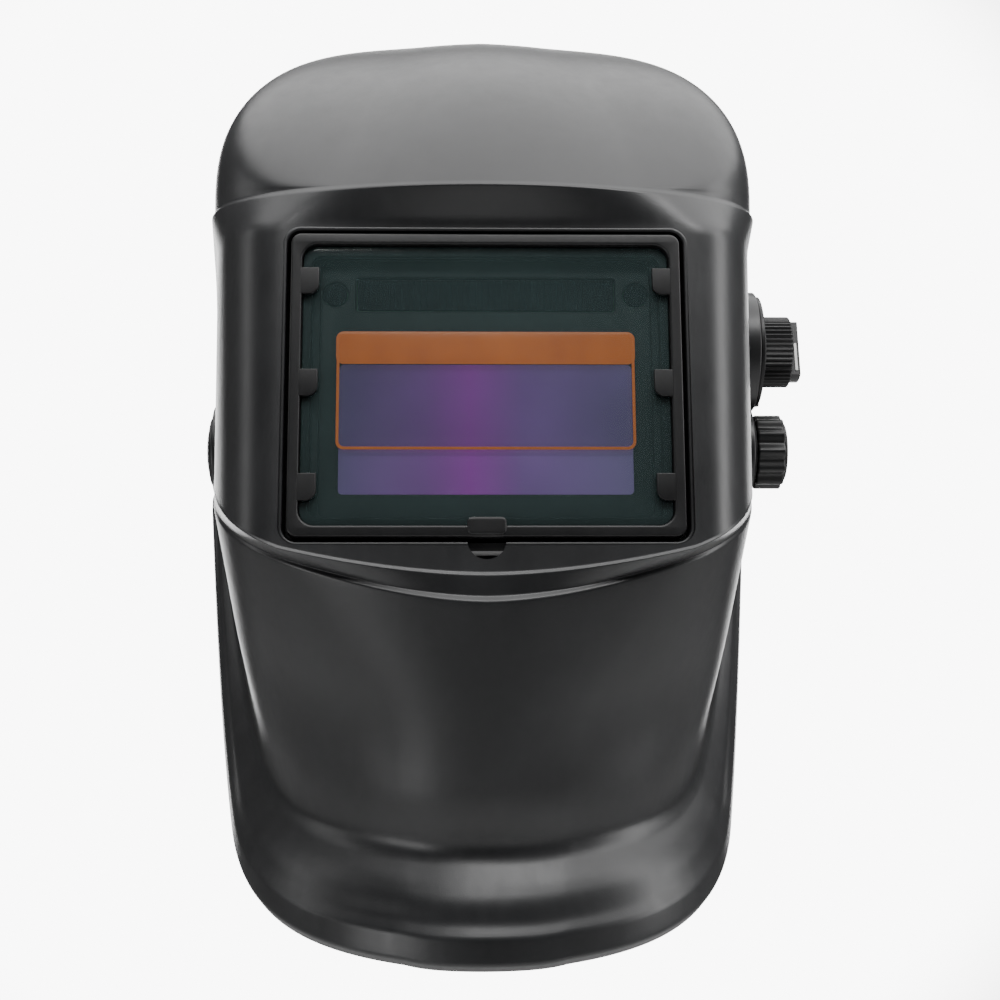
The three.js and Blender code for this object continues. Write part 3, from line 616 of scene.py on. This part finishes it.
def shell_skin(half_steps=90):
    spans = [0, 1, 3, 2, 3, 3, 5, 5, 8, 18, 1, 4, 1, 30, 5, 1]
    columns = 2 * half_steps

    def skin(rings, top):
        grid = []
        for i in range(columns + 1):
            t = i / half_steps - 1
            line = shell_line(rings, top, abs(t), spans)
            grid.append([(math.copysign(p.x, t) if t else 0.0, p.y, p.z) for p in line])
        return grid

    outer = skin(RINGS, TOP_Z)
    inner = skin(inner_rings(), TOP_Z - WALL)
    rows = len(outer[0])
    shift = (columns + 1) * rows
    vertices = [p for line in outer + inner for p in line]
    faces = []
    for i in range(columns):
        for j in range(rows - 1):
            a = i * rows + j
            b = a + rows
            faces.append((a, b, b + 1, a + 1))
            faces.append((a + shift, a + 1 + shift, b + 1 + shift, b + shift))
        faces.append((i * rows, i * rows + shift, (i + 1) * rows + shift, (i + 1) * rows))
    for j in range(rows - 1):
        a, b = j, columns * rows + j
        faces.append((a, a + 1, a + 1 + shift, a + shift))
        faces.append((b, b + shift, b + 1 + shift, b + 1))
    mesh = raw_mesh(vertices, faces)
    work = bmesh.new()
    work.from_mesh(mesh)
    bmesh.ops.remove_doubles(work, verts=work.verts, dist=0.005)
    bmesh.ops.dissolve_degenerate(work, edges=work.edges, dist=0.0005)
    bmesh.ops.recalc_face_normals(work, faces=work.faces)
    work.to_mesh(mesh)
    work.free()
    return mesh


def cut_mesh(mesh, cutter):
    """mesh minus cutter, both closed."""
    objects = []
    for name, data in (("base", mesh), ("cutter", cutter)):
        obj = bpy.data.objects.new(name, data)
        bpy.context.collection.objects.link(obj)
        objects.append(obj)
    base, tool = objects
    modifier = base.modifiers.new("cut", "BOOLEAN")
    modifier.operation = "DIFFERENCE"
    modifier.solver = "EXACT"
    modifier.object = tool
    graph = bpy.context.evaluated_depsgraph_get()
    result = bpy.data.meshes.new_from_object(base.evaluated_get(graph))
    for obj in objects:
        bpy.data.objects.remove(obj)
    return result


EDGE = 1.2


def build_shell():
    opening = slab([rounded_rect(WINDOW["width"] + 2 * EDGE, WINDOW["height"] + 2 * EDGE, WINDOW["radius"] + EDGE)],
                   40, 0.01, 0)
    opening.transform(in_window(12))
    skin = cut_mesh(shell_skin(), opening)
    skin = cut_mesh(skin, notch_cutter())
    clear = lathe([(0, -115), (16.5, -115), (16.5, -102.4), (0, -102.4)], 64)
    clear.transform(along_x(0))
    skin = cut_mesh(skin, clear)
    piece = Piece()
    piece.add(skin)
    rim = window_rim()
    rim.transform(TO_WINDOW)
    piece.add(cut_mesh(rim, notch_cutter()))
    for x0, seat, y, z, radius, way in ((98.2, 105.2, 0, 0, 18, 1), (98.2, 102.4, 0, 0, 18, -1),
                                        (97.2, 105.2, -8, 38.5, 23, 1)):
        profile = soft_corners([(0, x0), (radius, x0), (radius, seat), (0, seat)], 0.7)
        turn = along_x(0, y, z) if way > 0 else Matrix.Rotation(math.pi, 4, "Z") @ along_x(0, y, z)
        piece.add(lathe(profile, 96), turn)
    piece.finish("shell_surface", "shell", "shell", "shell_plastic", "shell", sharp=30)


def notch_cutter():
    """The half-round thumb notch under the window."""
    notch = lathe([(0, -20), (6, -20), (6, 3), (0, 3)], 64)
    notch.transform(TO_WINDOW @ along_y(0, 0, -WINDOW["height"] / 2 + 0.5))
    return notch


def window_rim():
    """The lip round the window: its section has a rounded front edge and runs back inside."""
    section = soft_corners([(-EDGE - 0.4, 0.02), (0, 0.02), (0, 12), (-2.5, 12), (-2.5, 2.2), (-EDGE - 0.4, 2.2)],
                           0.9, 5, closed=True)
    path = rounded_rect(WINDOW["width"], WINDOW["height"], WINDOW["radius"], steps=16)
    vertices, faces = [], []
    count = len(path)
    for i, (x, z) in enumerate(path):
        before, after = path[i - 1], path[(i + 1) % count]
        tangent = Vector((after[0] - before[0], after[1] - before[1])).normalized()
        normal = Vector((tangent.y, -tangent.x))
        for inward, depth in section:
            vertices.append((x - normal.x * inward, depth, z - normal.y * inward))
    size = len(section)
    for i in range(count):
        for k in range(size):
            a, b = i * size + k, i * size + (k + 1) % size
            c, d = ((i + 1) % count) * size + (k + 1) % size, ((i + 1) % count) * size + k
            faces.append((a, b, c, d))
    return raw_mesh(vertices, faces)


# ---------------------------------------------------------------- cover lens and its frame
LENS = {"width": 114.4, "height": 89.4, "radius": 5.0}
FRAME = {"width": 122.0, "height": 97.0, "radius": 3.2, "front": -1.4, "back": 4.5}


def build_lens_frame():
    width, height, radius = LENS["width"] + 0.6, LENS["height"] + 0.6, LENS["radius"]
    piece = Piece()
    ring = [rounded_rect(FRAME["width"], FRAME["height"], FRAME["radius"], steps=20),
            rounded_rect(width, height, radius, steps=20)]
    piece.add(slab(ring, FRAME["back"] - FRAME["front"], 0.7, 4), in_window(FRAME["back"]))
    ledge = [rounded_rect(width + 2, height + 2, radius + 1, steps=16),
             rounded_rect(width - 6, height - 6, radius - 2, steps=16)]
    piece.add(slab(ledge, 2.2, 0.3), in_window(4.3))
    for side in (-1, 1):
        for w in (33, 0, -33):
            piece.add(slab([hook_outline(side, w, width / 2)], 1.8, 0.35, 4), in_window(0.5))
    tab = rounded_rect(12, 5.6, 1.5, (0, -height / 2 - 0.2), 8)
    piece.add(slab([tab], 2.5, 0.8, 5), in_window(0.5))
    piece.finish("lens_frame_surface", "frame", "lens_frame", "frame_plastic", "lens_frame")
    lens = slab([rounded_rect(LENS["width"], LENS["height"], radius - 0.5, steps=20)], 1.0, 0.2)
    Piece().add(lens, in_window(1.8)).finish("cover_lens_sheet", "clear", "lens_frame", "cover_clear", "cover_lens")


def hook_outline(side, w, edge):
    """A hook: straight on top, its lower inner corner well rounded."""
    outer, inner, top, bottom = edge + 1.9, edge - 5.4, w + 4.3, w - 4.3
    points = [(outer, bottom), (outer, top), (inner, top)]
    for i in range(9):
        angle = math.radians(180 + 90 * i / 8)
        points.append((inner + 3.2 + 3.2 * math.cos(angle), bottom + 3.2 + 3.2 * math.sin(angle)))
    return [(side * x, z) for x, z in points]


# ---------------------------------------------------------------- filter cartridge
VIEW = {"width": 92.0, "height": 42.0, "w": -12.7}


def build_film():
    """The film on the filter: a clear sheet, with an orange band and a thin orange border printed on it."""
    low, high = -19.8, 18.6
    middle = (low + high) / 2
    sheet = slab([rounded_rect(94, high - low, 2.5, (0, middle))], 0.25, 0.05, 1)
    Piece().add(sheet, in_window(6.5)).finish("film_sheet", "film", "shell", "film", "protective_film")
    band_low = high - 10.6
    piece = Piece()
    band = rounded_rect(94, 10.6, 2.4, (0, (high + band_low) / 2), 8)
    piece.add(slab([band], 0.1, 0.02, 1), in_window(6.22))
    border = [rounded_rect(93.6, high - low - 0.4, 2.5, (0, middle), 8),
              rounded_rect(91.8, high - low - 2.2, 1.8, (0, middle), 8)]
    piece.add(slab(border, 0.1, 0.02, 1), in_window(6.2))
    # The print material is real print colour, and its emission is painted light.
    piece.finish("film_print_band", "print", "shell", "film")


def build_cartridge():
    piece = Piece()
    view = rounded_rect(VIEW["width"], VIEW["height"], 1.5, (0, VIEW["w"]), 6)
    solar = rounded_rect(82, 11, 1, (0, 31), 5)
    outline = [rounded_rect(110, 90, 3), view, solar, circle(4, (-47.5, 31)), circle(4, (47.5, 31))]
    piece.add(slab(outline, 6.2, 0.5), in_window(13))
    piece.finish("housing_front_surface", "inner", "shell", "inner_plastic", "filter_housing_front")
    back = Piece()
    back.add(slab([rounded_rect(110, 90, 3), view], 3, 0.5), in_window(16.3))
    for w, lip in ((14.8, 14.0), (-40.2, -39.4)):
        back.add(slab([rounded_rect(104, 3, 1, (0, w), 4)], 3.2, 0.3), in_window(19))
        back.add(slab([rounded_rect(104, 4.6, 1, (0, lip), 4)], 1.1, 0.3), in_window(19.4))
    for x in (-28, 28):
        back.add(slab([circle(9.5, (x, 29)), circle(8.3, (x, 29))], 0.5, 0.15), in_window(16.7))
        for k in range(7):
            angle = math.radians(-60 + 50 * k)
            spot = (x + 10.8 * math.sin(angle), 29 + 10.8 * math.cos(angle))
            back.add(slab([circle(0.5, spot, 12)], 0.4, 0.1, 1), in_window(16.6))
    boot = soft_corners([(0, 0), (4.2, 0), (3.2, 4.6), (0, 4.6)], 0.8)
    back.add(lathe(boot, 32), TO_WINDOW @ along_y(49.5, 16.3, 37))
    back.finish("housing_back_surface", "inner", "shell", "inner_plastic", "filter_housing_back")
    sheet = slab([rounded_rect(104, 51.4, 1, (0, VIEW["w"]), 4)], 1.0, 0.2)
    Piece().add(sheet, in_window(17.7)).finish("inner_lens_sheet", "inner_clear", "shell", "cover_clear",
                                               "inner_cover_lens")
    for name, x in (("sensitivity_knob", -28), ("delay_knob", 28)):
        build_small_knob(name, x)
    build_carrier()


def build_small_knob(name, x):
    piece = Piece()
    grip = lobes(lambda a: 7 + 0.4 * math.cos(18 * a), 144)
    piece.add(slab([grip], 3.2, 0.5), TO_WINDOW @ along_y(x, 16.6, 29))
    pointer = rounded_rect(1.2, 10, 0.5, (0, 0), 4)
    piece.add(slab([pointer], 0.7, 0.25), TO_WINDOW @ along_y(x, 19.5, 29))
    piece.finish(f"{name}_surface", "frame", name, "frame_plastic", name)


def build_carrier():
    pocket = rounded_rect(110.8, 90.8, 2)
    piece = Piece()
    piece.add(slab([rounded_rect(121, 96, 3), pocket], 10.1, 0.5), in_window(16.4))
    piece.add(slab([rounded_rect(118, 93, 3), rounded_rect(104, 84, 4)], 1.5, 0.3), in_window(6.5))
    piece.add(slab([rounded_rect(133.6, 107.2, 8), pocket], 2.1, 0.5), in_window(14.4))
    for side in (-1, 1):
        cheek = rounded_rect(3.2, 6.9, 1, (side * 12.3, -50.05), 4)
        piece.add(slab([cheek], 6, 0.4), in_window(20))
        for z in (-38, 0, 38):
            rib = rounded_rect(2, 9, 0.6, (side * 63.6, z), 3)
            piece.add(slab([rib], 2.2, 0.3), in_window(16))
    piece.finish("carrier_surface", "inner", "shell", "inner_plastic", "filter_carrier")
    latch = Piece()
    latch.add(slab([rounded_rect(20.6, 10, 1.5, (0, -47.6), 6)], 1.8, 0.4), in_window(18.6))
    for k in range(4):
        rib = rounded_rect(14, 0.8, 0.35, (0, -52 + 1.5 * k), 3)
        latch.add(slab([rib], 1.2, 0.3), in_window(19.4))
    latch.finish("latch_surface", "frame", "cartridge_latch", "frame_plastic", "cartridge_latch")


# ---------------------------------------------------------------- outside knobs
def build_shade_control():
    at = (-8, 38.5)
    plate = Piece()
    plate.add(lathe(ring_profile(21.3, 4.8, 105.5, 107.0, 0.4), 128), along_x(0, *at))
    for z in (-20, 20):
        nub = rounded_rect(2.4, 5, 0.9, (0, 0), 5)
        plate.add(slab([nub], 2.2, 0.6, 4), along_x(105.6, at[0], at[1] + z))
    for k in range(11):
        angle = math.radians(-130 + 26 * k)
        spot = (18.3 * math.cos(angle), 18.3 * math.sin(angle))
        plate.add(slab([circle(0.55, spot, 12)], 0.5, 0.15, 2), along_x(106.8, *at))
    plate.finish("dial_plate_surface", "frame", "shell", "frame_plastic", "shade_dial_plate")

    knob = Piece()
    ribs = lobes(lambda a: 13.3 + 0.35 * math.cos(44 * a), 440)
    knob.add(slab([ribs], 11.6, 0.6, 5), along_x(107.4, *at))
    skirt = soft_corners([(0, 107.4), (13.9, 107.4), (13.9, 108.6), (0, 108.6)], 0.4)
    knob.add(lathe(skirt, 128), along_x(0, *at))
    wing = [(x, y) for x, y in circle(11.8, steps=180) if abs(y) < 4.15]
    knob.add(slab([wing], 4.6, 0.5, 5), along_x(118.4, *at, turn=-20))
    knob.finish("shade_knob_surface", "frame", "shade_knob", "frame_plastic", "shade_knob")


def build_tension_knob():
    piece = Piece()
    ribs = lobes(lambda a: 13.5 + 0.9 * math.cos(12 * a), 288)
    piece.add(slab([ribs], 10.8, 0.9, 6), along_x(107))
    cap = soft_corners([(0, 111), (12, 111), (12, 118.4), (11, 119), (8.2, 119), (7.6, 118.5), (0, 118.5)], 0.5)
    piece.add(lathe(cap, 96), along_x(0))
    piece.finish("tension_knob_surface", "frame", "tension_knob", "frame_plastic", "tension_knob")
    washer = lathe(ring_profile(13, 4.2, 105.5, 106.7), 96)
    Piece().add(washer, along_x(0)).finish("tension_washer_surface", "rubber", "shell", "rubber_black",
                                           "tension_washer")
    cap_profile = soft_corners([(0, -105), (8, -105), (13.2, -103.8), (13.2, -102.7), (3.9, -102.7),
                                (3.9, -103.9), (0, -103.9)], 0.4)
    piece = Piece().add(lathe(cap_profile, 96), along_x(0))
    piece.finish("pivot_cap_surface", "frame", "headgear", "frame_plastic", "pivot_cap_right")


# ---------------------------------------------------------------- cable
def smooth_path(points, steps):
    """Catmull-Rom points through a given route."""
    knots = [Vector(p) for p in points]
    knots = [2 * knots[0] - knots[1], *knots, 2 * knots[-1] - knots[-2]]
    out = []
    for a, b, c, d in zip(knots, knots[1:], knots[2:], knots[3:]):
        for i in range(steps):
            t = i / steps
            out.append(0.5 * (2 * b + (c - a) * t + (2 * a - 5 * b + 4 * c - d) * t * t
                              + (3 * b - a - 3 * c + d) * t ** 3))
    out.append(knots[-2])
    return out


def tube(points, radius, sides=20):
    side = Vector((1, 0, 0))
    stations = []
    for i, point in enumerate(points):
        ahead = points[min(i + 1, len(points) - 1)] - points[max(i - 1, 0)]
        side = (side - ahead.normalized() * side.dot(ahead.normalized())).normalized()
        stations.append((point, side, ahead.normalized().cross(side)))
    return sweep(stations, circle(radius, steps=sides))


def build_cable():
    route = [(84.2, -7.95, 36), (84, -15, 36), (83, -42, 35), (83, -72, 38), (76, -92, 44), (62, -101, 48),
             (52, -103.5, 48.6), (49.5, -107, 48.9), (49.5, -111.4, 49.2)]
    piece = Piece().add(tube(smooth_path(route, 12), 1.5))
    piece.finish("control_cable_surface", "rubber", "shell", "rubber_black", "control_cable")


# ---------------------------------------------------------------- headgear
HEAD = {"a": 78.0, "b": 104.0, "y": 12.0, "front_z": 42.0, "slope": 0.286, "width": 24.0}
CROWN = {"a": 80.6, "y": 32.0, "lean": 17.0, "top": 102.0, "width": 20.0}
RATCHET = {"y": 93.4, "z": -12.0, "width": 62.0, "height": 30.0}


def band_station(angle, inset=0.0):
    x = HEAD["a"] * math.sin(angle)
    y = HEAD["y"] - HEAD["b"] * math.cos(angle)
    out = Vector((x / HEAD["a"] ** 2, (y - HEAD["y"]) / HEAD["b"] ** 2, 0)).normalized()
    z = HEAD["front_z"] - HEAD["slope"] * (y - HEAD["y"] + HEAD["b"])
    return Vector((x, y, z)) - out * inset, out, Vector((0, 0, 1))


def band_arc(start, end, steps, inset=0.0):
    return [band_station(math.radians(start + (end - start) * i / steps), inset) for i in range(steps + 1)]


def strap_section(width, thickness, rim=0.9, lift=0.5):
    """A strap's section: rounded edges, and a slight raised rim along both of them."""
    w, t = width / 2, thickness / 2
    outline = [(-t, -w), (t, -w), (t, -w + 2.2), (t - lift, -w + 3.2), (t - lift, w - 3.2), (t, w - 2.2), (t, w), (-t, w)]
    return soft_corners(outline, rim, 3, closed=True)


def build_headgear():
    section = strap_section(HEAD["width"], 2)
    band = Piece().add(sweep(band_arc(-150, 150, 160), section))
    band.finish("headband_surface", "headgear", "headgear", "headgear_plastic", "headband")
    build_sweatband()
    for side, name in ((1, "left"), (-1, "right")):
        top = CROWN["top"] - (0 if side > 0 else 2.4)
        stations = []
        for i in range(81):
            angle = math.radians(-4 + 106 * i / 80)
            out = Vector((side * math.cos(angle) / CROWN["a"], 0, math.sin(angle) / top)).normalized()
            point = Vector((side * CROWN["a"] * math.cos(angle), CROWN["y"] - CROWN["lean"] * max(math.sin(angle), 0),
                            8 + top * math.sin(angle)))
            stations.append((point, out, Vector((0, 1, 0))))
        piece = Piece().add(sweep(stations, strap_section(CROWN["width"], 1.8, 0.8, 0.4)))
        piece.finish(f"crown_strap_{name}_surface", "headgear", "headgear", "headgear_plastic", f"crown_strap_{name}")
    low, high = box_of("crown_peg")
    centre = (low + high) / 2
    peg = soft_corners([(0, low.z), (4.2, low.z), (4.2, low.z + 2.2), (2.2, low.z + 2.3), (2.2, high.z - 1.5),
                        (5, high.z - 1.4), (3.6, high.z), (0, high.z)], 0.5)
    Piece().add(lathe(peg, 48), Matrix.Translation((centre.x, centre.y, 0))).finish(
        "crown_peg_surface", "frame", "headgear", "frame_plastic", "crown_peg")


def build_sweatband():
    """A terry sleeve round the front of the band: a plump section, pinched at its stitched ends."""
    stations = band_arc(-58, 58, 150, 4.4)
    vertices, faces = [], []
    count = 40
    for s, (point, out, side) in enumerate(stations):
        along = s / (len(stations) - 1)
        end = min(along, 1 - along) / 0.04
        plump = 0.55 + 0.45 * min(1, end) ** 0.5
        ripple = 1 + 0.05 * math.sin(2 * math.pi * along * 23)
        for k in range(count):
            angle = 2 * math.pi * k / count
            across = math.copysign(abs(math.cos(angle)) ** 0.75, math.cos(angle)) * 3 * plump * ripple
            height = math.copysign(abs(math.sin(angle)) ** 0.6, math.sin(angle)) * 15 * (0.9 + 0.1 * plump)
            vertices.append(tuple(point + out * across + side * height))
    for s in range(len(stations) - 1):
        for k in range(count):
            a, b = s * count + k, s * count + (k + 1) % count
            faces.append((a, b, b + count, a + count))
    last = (len(stations) - 1) * count
    faces += [tuple(range(count)), tuple(range(last + count - 1, last - 1, -1))]
    piece = Piece().add(raw_mesh(vertices, faces))
    band = piece.finish("sweatband_surface", "cloth", "headgear", "cloth", "sweatband", sharp=60)


def build_ratchet():
    place = along_y(0, RATCHET["y"], RATCHET["z"])
    plate = rounded_rect(RATCHET["width"], RATCHET["height"], 7)
    housing = Piece().add(slab([plate], 2, 0.5), place)
    for side in (-1, 1):
        rail = rounded_rect(RATCHET["width"] - 2, 3.9, 1.2, (0, side * 12.9), 4)
        housing.add(slab([rail], 8.8, 0.5), place)
    housing.finish("ratchet_housing_surface", "headgear", "headgear", "headgear_plastic", "ratchet_housing")
    cover = Piece().add(slab([plate, circle(7.4, steps=48)], 2.2, 0.6, 4), along_y(0, RATCHET["y"] + 9.3, RATCHET["z"]))
    for side in (-1, 1):
        for k in range(3):
            rib = rounded_rect(1.4, 17, 0.6, (side * (22 + 2.6 * k), 0), 4)
            cover.add(slab([rib], 0.8, 0.3), along_y(0, RATCHET["y"] + 11.1, RATCHET["z"]))
    cover.finish("ratchet_cover_surface", "headgear", "headgear", "headgear_plastic", "ratchet_cover")
    knob = Piece()
    grip = lobes(lambda a: 18.6 + 1.2 * math.cos(10 * a), 300)
    knob.add(slab([grip, circle(12, steps=90)], 12.6, 1.4, 6), along_y(0, RATCHET["y"] + 14.4, RATCHET["z"]))
    web = soft_corners([(0, 14.6), (12.3, 14.6), (12.3, 24), (0, 24.6)], 0.5)
    knob.add(lathe(web, 96), along_y(0, RATCHET["y"], RATCHET["z"]))
    knob.finish("ratchet_knob_surface", "frame", "ratchet_knob", "frame_plastic", "ratchet_knob")
    build_rear_pad()


def build_rear_pad():
    """A foam pad with crowned faces and a sewn edge line."""
    low, high = box_of("rear_pad")
    centre, half = (low + high) / 2, (high - low) / 2
    vertices, faces = [], []
    steps, rings = 120, 12
    outline = rounded_rect(2 * half.x, 2 * half.z, 8, steps=29)
    steps = len(outline)
    for face in (-1, 1):
        for r in range(rings + 1):
            s = r / rings
            crown = half.y * (1 - 0.62 * s ** 4 - 0.18 * math.exp(-((s - 0.86) / 0.035) ** 2))
            for x, z in outline:
                vertices.append((centre.x + x * s, centre.y + face * crown * (0.55 if s == 1 else 1), centre.z + z * s))
    block = (rings + 1) * steps
    for f in range(2):
        for r in range(rings):
            for k in range(steps):
                a = f * block + r * steps + k
                b = f * block + r * steps + (k + 1) % steps
                faces.append((a, b, b + steps, a + steps))
    for k in range(steps):
        a, b = rings * steps + k, rings * steps + (k + 1) % steps
        faces.append((a, b, b + block, a + block))
    mesh = raw_mesh(vertices, faces)
    work = bmesh.new()
    work.from_mesh(mesh)
    bmesh.ops.remove_doubles(work, verts=work.verts, dist=0.001)
    work.to_mesh(mesh)
    work.free()
    pad = Piece().add(mesh).finish("rear_pad_surface", "cloth", "headgear", "cloth", "rear_pad", sharp=60)


# ---------------------------------------------------------------- CAD nodes that stay
KEPT = {
    "steel": ["shade_control_body", "shade_control_nut", "shade_control_shaft", "pivot_stud_left",
              "pivot_stud_right", "stop_plate_left", "stop_plate_right", "tension_knob_insert",
              "ratchet_pinion", "detent_spring", "coin_cell_1", "coin_cell_2"],
    "rubber": ["friction_washer_left", "friction_washer_right", "cable_gland"],
    "headgear": ["pivot_block_left", "pivot_block_right", "rack_left", "rack_right"],
    # uv_ir_filter and lcd_shutter take the glass with its painted reflection band and its emission, which is painted
    # light.
    "glass": ["uv_ir_filter", "lcd_shutter"],
    "solar": ["solar_cell", "arc_sensor_left", "arc_sensor_right"],
    "board": ["circuit_board"],
    "white": ["shade_knob_index"],
}


def finish_kept_nodes():
    for finish, names in KEPT.items():
        for name in names:
            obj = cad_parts[name]
            for slot in obj.material_slots:
                slot.material = MATERIALS[finish]
            edge = obj.modifiers.new("edge", "BEVEL")
            edge.width = 0.25 * MM
            edge.segments = 2
            edge.limit_method = "ANGLE"
            edge.angle_limit = math.radians(50)


add_camera()
add_studio()
make_materials()
build_shell()
build_lens_frame()
build_film()
build_cartridge()
build_shade_control()
build_tension_knob()
build_cable()
build_headgear()
build_ratchet()
finish_kept_nodes()
